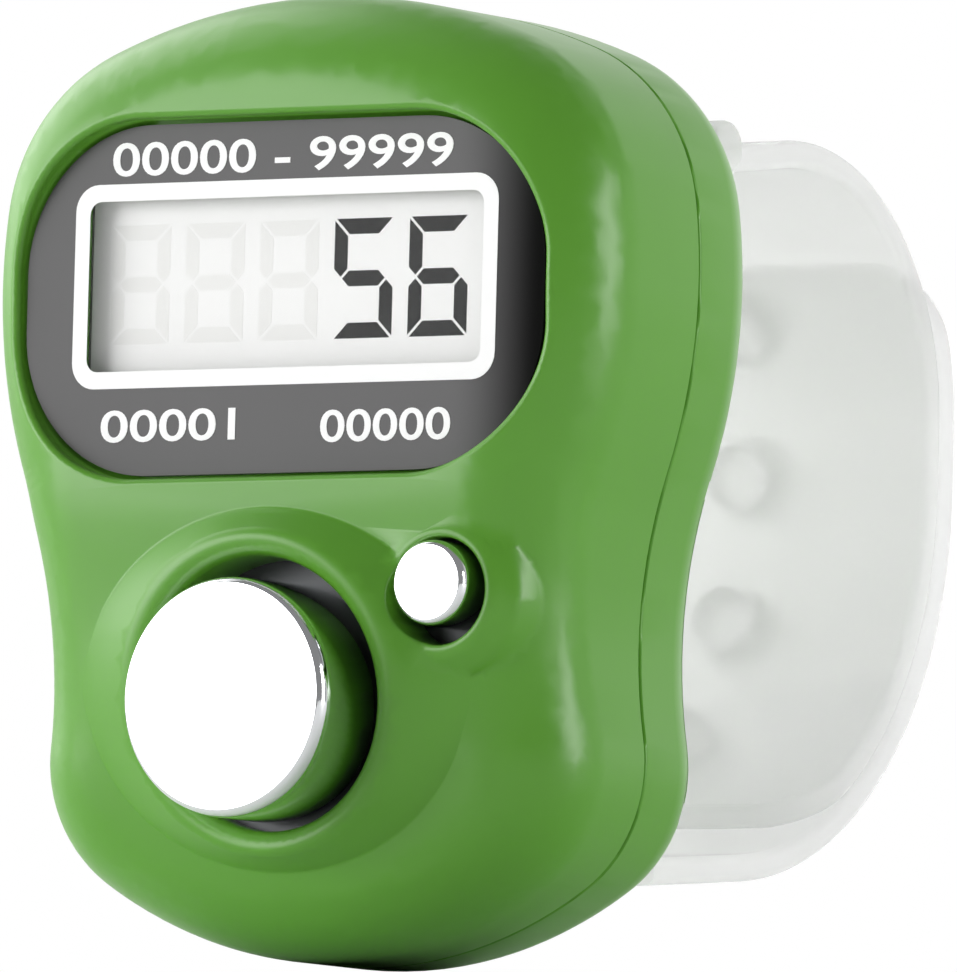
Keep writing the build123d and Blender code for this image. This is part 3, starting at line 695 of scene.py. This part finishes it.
def printed_number(name, text, centre_x, centre_z, width, height):
    """A line of numbers stretched to a printed size, as a thin closed mesh on the panel."""
    curve = bpy.data.curves.new(name, "FONT")
    curve.body = text
    curve.align_x = "CENTER"
    curve.extrude = 0.5
    curve.offset = STROKE_GAIN
    curve.resolution_u = STROKE_STEPS
    holder = new_piece(name, curve)
    mesh = baked(name, holder)
    bpy.data.objects.remove(holder)
    xs = [v.co.x for v in mesh.vertices]
    ys = [v.co.y for v in mesh.vertices]
    for vertex in mesh.vertices:
        x = (vertex.co.x - (min(xs) + max(xs)) / 2) / (max(xs) - min(xs)) * width
        z = (vertex.co.y - (min(ys) + max(ys)) / 2) / (max(ys) - min(ys)) * height
        depth = -INK if vertex.co.z > 0 else 0.0
        vertex.co = place(centre_x + x, depth, centre_z + z)
    work = bmesh.new()
    work.from_mesh(mesh)
    bmesh.ops.remove_doubles(work, verts=work.verts, dist=TEXT_WELD)
    bmesh.ops.recalc_face_normals(work, faces=work.faces)
    work.to_mesh(mesh)
    work.free()
    return finish_piece(new_piece(name, mesh), printed_white, "case")


for name, (text, centre_x, lift, width, height) in NUMBERS.items():
    printed_number(name, text, centre_x, DISPLAY_Z / MM + lift, width, height)
print("printed numbers:", [row[0] for row in NUMBERS.values()])

# %% [markdown]
# ## Strap
#
# Two soft straps make the loop. Each is a band swept along the same line: a straight run from its bead, a
# bend, the flat back, a second bend. A loft of rounded sections keeps the moulded, softened edges that show
# as the bright rim in the photograph. The line's points and bend radii are those of the CAD, in millimetres
# of depth and height.

# %% The runs of the strap line
STRAP_HALF = 10.0
STRAP_THICK = 1.15
BEAD_DEPTH = 13.4
BEAD_TOP_Z = 33.85
BEAD_LOW_Z = 4.8
BACK_DEPTH = 35.05
TOP_RISE = 3.0
LOW_RISE = 1.9
TOP_ROUND = 11.0
LOW_ROUND = 16.0
STEP = 0.4
LINE_CORNERS = [Vector((BEAD_DEPTH, BEAD_TOP_Z)), Vector((BACK_DEPTH, BEAD_TOP_Z + TOP_RISE)),
                Vector((BACK_DEPTH, BEAD_LOW_Z + LOW_RISE)), Vector((BEAD_DEPTH, BEAD_LOW_Z))]


def line_run(first, last):
    """Points of a straight run, without its last one."""
    count = max(2, int((last - first).length / STEP))
    return [first.lerp(last, step / count) for step in range(count)]


def arc_run(centre, radius, first, last):
    """Points of a bend, without its last one."""
    low = atan2(first.y - centre.y, first.x - centre.x)
    turn = atan2(last.y - centre.y, last.x - centre.x) - low
    turn = turn - 2 * pi if turn > 0 else turn
    count = max(4, int(abs(turn) * radius / STEP))
    angles = [low + turn * step / count for step in range(count)]
    return [centre + radius * Vector((cos(a), sin(a))) for a in angles]


def strap_line():
    """Points along the strap line, from the upper bead to the lower one."""
    points = []
    start = LINE_CORNERS[0]
    for index, radius in ((1, TOP_ROUND), (2, LOW_ROUND)):
        corner = LINE_CORNERS[index]
        before = (LINE_CORNERS[index - 1] - corner).normalized()
        after = (LINE_CORNERS[index + 1] - corner).normalized()
        half = acos(max(-1.0, min(1.0, before.dot(after)))) / 2
        reach = radius / tan(half)
        centre = corner + (before + after).normalized() * radius / sin(half)
        first = corner + before * reach
        last = corner + after * reach
        points += line_run(start, first) + arc_run(centre, radius, first, last)
        start = last
    return points + line_run(start, LINE_CORNERS[3]) + [LINE_CORNERS[3]]


LINE_POINTS = strap_line()
print("strap line:", len(LINE_POINTS), "points")

# %% [markdown]
# A place on the line is given by its distance from the upper bead. The normal points out of the loop.

# %% Places along the strap line


def line_normals():
    normals = []
    for index in range(len(LINE_POINTS)):
        after = LINE_POINTS[min(index + 1, len(LINE_POINTS) - 1)]
        along = (after - LINE_POINTS[max(index - 1, 0)]).normalized()
        normals.append(Vector((-along.y, along.x)))
    return normals


def line_lengths():
    lengths = [0.0]
    for first, second in zip(LINE_POINTS, LINE_POINTS[1:]):
        lengths.append(lengths[-1] + (second - first).length)
    return lengths


LINE_NORMALS = line_normals()
LINE_LENGTHS = line_lengths()
LINE_LENGTH = LINE_LENGTHS[-1]


def on_line(distance):
    """Point and outward normal at a distance along the strap line."""
    distance = max(0.0, min(LINE_LENGTH, distance))
    index = max(i for i, length in enumerate(LINE_LENGTHS) if length <= distance + 1e-9)
    index = min(index, len(LINE_POINTS) - 2)
    part = (distance - LINE_LENGTHS[index]) / (LINE_LENGTHS[index + 1] - LINE_LENGTHS[index])
    return (LINE_POINTS[index].lerp(LINE_POINTS[index + 1], part),
            LINE_NORMALS[index].lerp(LINE_NORMALS[index + 1], part).normalized())


def facing(normal):
    """Turn that points +z along a normal of the strap line."""
    return Vector((0, normal.x, normal.y)).to_track_quat("Z", "X")


print("strap line length:", round(LINE_LENGTH, 2), "mm")

# %% [markdown]
# Each section is a rounded strip. Near the free end it narrows along a circle, which rounds the corners of
# the tongue, and in the last third of a millimetre it also thins, which rounds the edge itself.

# %% The band loft
EDGE_ROUND = 0.38
EDGE_STEPS = 5
EDGE_END_STEPS = 4
EDGE_THIN = 0.9
TONGUE_ROUND = 3.5
TONGUE_STEPS = 13
LEAST_FLAT = 0.01
BAND_WELD = 1e-7


def section(half_width, inner, outer):
    """Rounded strip about zero: (x, offset) points."""
    r = min(EDGE_ROUND, (outer - inner) / 2 - LEAST_FLAT)
    points = []
    for sx, side, start in CORNERS:
        for step in range(EDGE_STEPS + 1):
            angle = radians(start + 90 * step / EDGE_STEPS)
            middle = outer - r if side > 0 else inner + r
            points.append((sx * (half_width - r) + r * cos(angle), middle + r * sin(angle)))
    return points


def rounding(left, radius):
    """How much a round end takes off, a distance before its tip."""
    if left >= radius:
        return 0.0
    return radius - sqrt(max(0.0, radius ** 2 - (radius - left) ** 2))


def band_reaches(span):
    """Distances of the sections from the bead, closer together toward the tip."""
    reaches = [STEP * index for index in range(int((span - TONGUE_ROUND) / STEP) + 1)]
    for step in range(1, TONGUE_STEPS):
        reaches.append(span - TONGUE_ROUND * (1 - sin(step / TONGUE_STEPS * pi / 2)))
    for step in range(1, EDGE_END_STEPS + 1):
        reaches.append(span - EDGE_ROUND * (1 - sin(step * pi / 2 / EDGE_END_STEPS)))
    return sorted(reaches)


def band(inner, outer, start, end):
    """Band between two offsets of the strap line; the free end is at the second distance."""
    way = 1 if end > start else -1
    span = abs(end - start)
    work = bmesh.new()
    loops = []
    for reach in band_reaches(span):
        half = STRAP_HALF - rounding(span - reach, TONGUE_ROUND)
        thin = rounding(span - reach, EDGE_ROUND) * EDGE_THIN
        spot, normal = on_line(start + way * reach)
        loop = []
        for x, offset in section(half, inner + thin, outer - thin):
            loop.append(work.verts.new(place(x, spot.x + normal.x * offset, spot.y + normal.y * offset)))
        loops.append(loop)
    skin(work, loops)
    bmesh.ops.remove_doubles(work, verts=work.verts, dist=BAND_WELD)
    bmesh.ops.recalc_face_normals(work, faces=work.faces)
    return work


print("points in a section:", len(section(STRAP_HALF, 0, STRAP_THICK)))

# %% [markdown]
# The end of each band is a round bead, and the band is notched where the hooks of the rear shell hold it.

# %% Beads, notches and cuts
BEAD_RADIUS = 1.15
BEAD_SOFT = 0.3
BEAD_STEPS = 40
BEAD_END = (pi / 6, pi / 3, pi / 2)
HOOK_X = 5.6
NOTCH_HALF = 1.1
NOTCH_REACH = 2.05


def bead(z, half):
    """Round bead along x with softened ends."""
    flat = BEAD_RADIUS - BEAD_SOFT
    profile = [(-half, flat)]
    profile += [(-half + BEAD_SOFT - BEAD_SOFT * cos(a), flat + BEAD_SOFT * sin(a)) for a in BEAD_END]
    profile += [(-x, r) for x, r in reversed(profile)]
    work = bmesh.new()
    loops = []
    for x, r in profile:
        spots = [place(x, BEAD_DEPTH + r * cos(a), z + r * sin(a)) for a in circle(BEAD_STEPS)]
        loops.append([work.verts.new(spot) for spot in spots])
    skin(work, loops)
    return work


def notches(z):
    """Boxes that clear the two hooks round a bead."""
    low = BEAD_DEPTH - NOTCH_REACH
    high = BEAD_DEPTH + NOTCH_REACH
    return [box_cutter("notch", place(side * HOOK_X - NOTCH_HALF, low, z - NOTCH_REACH),
                       place(side * HOOK_X + NOTCH_HALF, high, z + NOTCH_REACH)) for side in (-1, 1)]


def carve(piece, tools, operation):
    """Boolean one set of tools into a piece and keep the result as its own mesh."""
    for tool in tools:
        cut = piece.modifiers.new("cut", "BOOLEAN")
        cut.operation = operation
        cut.solver = "EXACT"
        cut.object = tool
    mesh = baked(piece.name, piece)
    piece.modifiers.clear()
    piece.data = mesh
    for tool in tools:
        bpy.data.objects.remove(tool)


print("bead", 2 * BEAD_RADIUS, "mm thick, notches", 2 * NOTCH_HALF, "mm wide")

# %% [markdown]
# The pegs repeat along the line, so Geometry Nodes set them: one peg is a lathe of a small profile, and the
# tree puts a copy on each point, turned to the strap's outward direction.

# %% Pegs along the strap
PEG_RADIUS = 1.3
PEG_GAP = 0.15
PEG_HEAD = 1.9
PEG_HEAD_HEIGHT = 0.5
PEG_STEPS = 32
PEG_PLACES = [0.385, 0.485, 0.585, 0.685]
STRAP_SHARP = radians(40)


def peg_mesh():
    """Button-headed peg along +z, lathed from its (radius, height) profile, with a softened rim."""
    top = STRAP_THICK + PEG_HEAD_HEIGHT
    under = STRAP_THICK + PEG_GAP
    profile = [(PEG_RADIUS, -STRAP_THICK / 2), (PEG_RADIUS, under), (PEG_HEAD - 0.12, under),
               (PEG_HEAD, under + 0.1), (PEG_HEAD - 0.05, top - 0.12), (PEG_HEAD - 0.3, top - 0.02),
               (0.6, top)]
    work = bmesh.new()
    loops = []
    for r, z in profile:
        spots = [(r * cos(a) * MM, r * sin(a) * MM, z * MM) for a in circle(PEG_STEPS)]
        loops.append([work.verts.new(spot) for spot in spots])
    skin(work, loops)
    mesh = bpy.data.meshes.new("peg")
    work.to_mesh(mesh)
    work.free()
    return mesh


def strap_pegs():
    """All the pegs, as one mesh."""
    spots = [on_line(part * LINE_LENGTH) for part in PEG_PLACES]
    places = [place(0, spot.x, spot.y) for spot, _ in spots]
    turns = [facing(normal).to_euler() for _, normal in spots]
    return copies("strap_pegs", copies_tree("strap_pegs", strap_milk), peg_mesh(), places, turns)


peg_piece = new_piece("strap_pegs", strap_pegs())
peg_piece.data.shade_smooth()
peg_piece.data.set_sharp_from_angle(angle=STRAP_SHARP)
finish_piece(peg_piece, strap_milk, "case")
print("pegs:", len(PEG_PLACES), "faces:", len(peg_piece.data.polygons))

# %% [markdown]
# Each strap is its band, cut by the notches and the peg holes, with the bead joined on. The upper strap is
# the inner layer and carries the pegs; the lower one lies over it and has the holes.

# %% The two straps
UPPER_END = 0.80
LOWER_END = 0.343
LAYER_GAP = 0.02
BEAD_TOP_HALF = 12.8
BEAD_LOW_HALF = 9.25
HOLE_STEPS = 32
HOLE_DEPTH = 4.0


def peg_hole(part):
    """Cutter through the strap at a share of the line."""
    spot, normal = on_line(part * LINE_LENGTH)
    radius = (PEG_RADIUS + PEG_GAP) * MM
    work = bmesh.new()
    bmesh.ops.create_cone(work, cap_ends=True, segments=HOLE_STEPS, radius1=radius, radius2=radius,
                          depth=HOLE_DEPTH * MM)
    work.transform(Matrix.Translation(place(0, spot.x, spot.y)) @ facing(normal).to_matrix().to_4x4())
    return solid("hole", work)


def strap(name, inner, outer, start, end, bead_z, bead_half, holes):
    """Band with its notches, holes and bead, standing for a strap of the CAD."""
    piece = solid(name, band(inner, outer, start, end))
    carve(piece, notches(bead_z) + [peg_hole(part) for part in holes], "DIFFERENCE")
    carve(piece, [solid("bead", bead(bead_z, bead_half))], "UNION")
    piece.data.shade_smooth()
    piece.data.set_sharp_from_angle(angle=STRAP_SHARP)
    finish_piece(piece, strap_milk, "case")
    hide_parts(name.replace("_band", ""))
    print(name, "faces:", len(piece.data.polygons))
    return piece


strap("strap_upper_band", -STRAP_THICK, 0, 0, UPPER_END * LINE_LENGTH, BEAD_TOP_Z, BEAD_TOP_HALF, [])
strap("strap_lower_band", LAYER_GAP, STRAP_THICK, LINE_LENGTH, LOWER_END * LINE_LENGTH, BEAD_LOW_Z,
      BEAD_LOW_HALF, PEG_PLACES)

# %% [markdown]
# ## Stage, light and camera
#
# The photograph is on pure white. The floor is pale too. The camera stands a little lower than the floor's
# level, so the floor shows only its upper side: from below it is clear.

# %% Floor
FLOOR_SIZE = 8.0
FLOOR_TONE = (0.9, 0.9, 0.9, 1.0)
FLOOR_ROUGHNESS = 0.7


def floor_material():
    material = bpy.data.materials.new("pale_floor")
    material.use_nodes = True
    tree = material.node_tree
    shader = tree.nodes["Principled BSDF"]
    shader.inputs["Base Color"].default_value = FLOOR_TONE
    shader.inputs["Roughness"].default_value = FLOOR_ROUGHNESS
    side = add_node(tree, "ShaderNodeNewGeometry")
    clear = add_node(tree, "ShaderNodeBsdfTransparent")
    mix = add_node(tree, "ShaderNodeMixShader")
    tree.links.new(side.outputs["Backfacing"], mix.inputs[0])
    tree.links.new(shader.outputs[0], mix.inputs[1])
    tree.links.new(clear.outputs[0], mix.inputs[2])
    tree.links.new(mix.outputs[0], tree.nodes["Material Output"].inputs["Surface"])
    return material


def flat_floor(size):
    work = bmesh.new()
    bmesh.ops.create_grid(work, x_segments=1, y_segments=1, size=size)
    piece = solid("floor", work)
    piece.data.materials.append(floor_material())
    return piece


print("stage:", flat_floor(FLOOR_SIZE).name)

# %% [markdown]
# The camera sees a white sky. The object is lit by a dim fill that grows brighter behind it, which lights the
# strap from the back, and by a soft box high on the left. Both follow the direction of the light, so each is
# a range of a value: the depth of the direction, or how nearly it points to the soft box.

# %% World
WHITE = (1.0, 1.0, 1.0, 1.0)
FILL_RANGE = {"From Min": 0.35, "From Max": 0.9, "To Min": 0.26, "To Max": 1.4}
SOFT_BOX_WAY = (-0.855, 0.086, 0.512)
SOFT_BOX_RANGE = {"From Min": 0.82, "From Max": 0.92, "To Min": 0.0, "To Max": 2.6}


def map_range(tree, values):
    node = add_node(tree, "ShaderNodeMapRange")
    for name, value in values.items():
        node.inputs[name].default_value = value
    return node


def studio_world():
    """White for the camera; fill and soft box for the light."""
    world = bpy.data.worlds.new("studio")
    world.use_nodes = True
    tree = world.node_tree
    backdrop = tree.nodes["Background"]
    backdrop.inputs["Color"].default_value = WHITE
    backdrop.inputs["Strength"].default_value = 1.0
    light = add_node(tree, "ShaderNodeBackground")
    light.inputs["Color"].default_value = WHITE
    way = add_node(tree, "ShaderNodeTexCoord")
    parts = add_node(tree, "ShaderNodeSeparateXYZ")
    fill = map_range(tree, FILL_RANGE)
    toward = add_node(tree, "ShaderNodeVectorMath", operation="DOT_PRODUCT")
    toward.inputs[1].default_value = SOFT_BOX_WAY
    soft_box = map_range(tree, SOFT_BOX_RANGE)
    together = add_node(tree, "ShaderNodeMath", operation="ADD")
    seen = add_node(tree, "ShaderNodeLightPath")
    blend = add_node(tree, "ShaderNodeMixShader")
    link = tree.links.new
    link(way.outputs["Generated"], parts.inputs[0])
    link(parts.outputs["Y"], fill.inputs["Value"])
    link(way.outputs["Generated"], toward.inputs[0])
    link(toward.outputs["Value"], soft_box.inputs["Value"])
    link(fill.outputs["Result"], together.inputs[0])
    link(soft_box.outputs["Result"], together.inputs[1])
    link(together.outputs[0], light.inputs["Strength"])
    link(seen.outputs["Is Camera Ray"], blend.inputs[0])
    link(light.outputs[0], blend.inputs[1])
    link(backdrop.outputs[0], blend.inputs[2])
    link(blend.outputs[0], tree.nodes["World Output"].inputs["Surface"])
    return world


bpy.context.scene.view_settings.view_transform = "Standard"
bpy.context.scene.world = studio_world()
print("world:", bpy.context.scene.world.name)

# %% [markdown]
# Two lamps add to it. The one at the front left fills the chromed faces with its reflection, and the narrow
# one at the right draws the pale line down the rounded edge.

# %% Lamps
MIDDLE = (0.0, 0.0, 0.02)
# Place and size in metres, and power in watts.
LAMPS = {"key_front": ((-0.32, -0.33, 0.06), (0.36, 0.30), 1.9),
         "side_right": ((0.40, 0.05, 0.05), (0.11, 0.30), 0.95)}


def soft_lamp(name, place_m, target_m, size, power):
    lamp = bpy.data.lights.new(name, "AREA")
    lamp.shape = "RECTANGLE"
    lamp.size, lamp.size_y = size
    lamp.energy = power
    holder = bpy.data.objects.new(name, lamp)
    bpy.context.scene.collection.objects.link(holder)
    holder.location = place_m
    holder.rotation_euler = (Vector(target_m) - Vector(place_m)).to_track_quat("-Z", "Y").to_euler()
    return holder


for name, (place_m, size, power) in LAMPS.items():
    soft_lamp(name, place_m, MIDDLE, size, power)
print("lamps:", list(LAMPS))

# %% [markdown]
# The camera comes from the display's printed border: its four corners fix the turn, the tilt, the roll and
# the scale. The picture is 957 by 972, and the lens is long, so lines stay nearly parallel.

# %% Camera
TURN = radians(33.0)
TILT = radians(-4.5)
ROLL = radians(-1.55)
DISTANCE = 0.840
FOCAL_PIXELS = 20647.0
PICTURE_HEIGHT = 972.0
SENSOR = 36.0
NEAR_CLIP = 0.01
CENTRE_RIGHT = 7.901
CENTRE_DOWN = 8.317
back = Vector((sin(TURN) * cos(TILT), -cos(TURN) * cos(TILT), sin(TILT)))
level_right = Vector((cos(TURN), sin(TURN), 0.0))
level_up = back.cross(level_right)
right = level_right * cos(ROLL) - level_up * sin(ROLL)
up = level_right * sin(ROLL) + level_up * cos(ROLL)
aim = place(0, 0, DISPLAY_Z / MM) + right * CENTRE_RIGHT * MM - up * CENTRE_DOWN * MM
lens = bpy.data.cameras.new("camera")
lens.sensor_width = SENSOR
lens.sensor_fit = "VERTICAL"
lens.sensor_height = SENSOR
lens.lens = FOCAL_PIXELS / PICTURE_HEIGHT * SENSOR
lens.clip_start = NEAR_CLIP
camera = bpy.data.objects.new("camera", lens)
bpy.context.scene.collection.objects.link(camera)
axes = Matrix((right, up, back)).transposed()
camera.matrix_world = Matrix.Translation(aim + back * DISTANCE) @ axes.to_4x4()
bpy.context.scene.camera = camera
print("camera at", [round(v, 4) for v in camera.location], "lens", round(lens.lens, 1), "mm")

# %% [markdown]
# Last, the view layer is brought up to date.

# %% The end
bpy.context.view_layer.update()
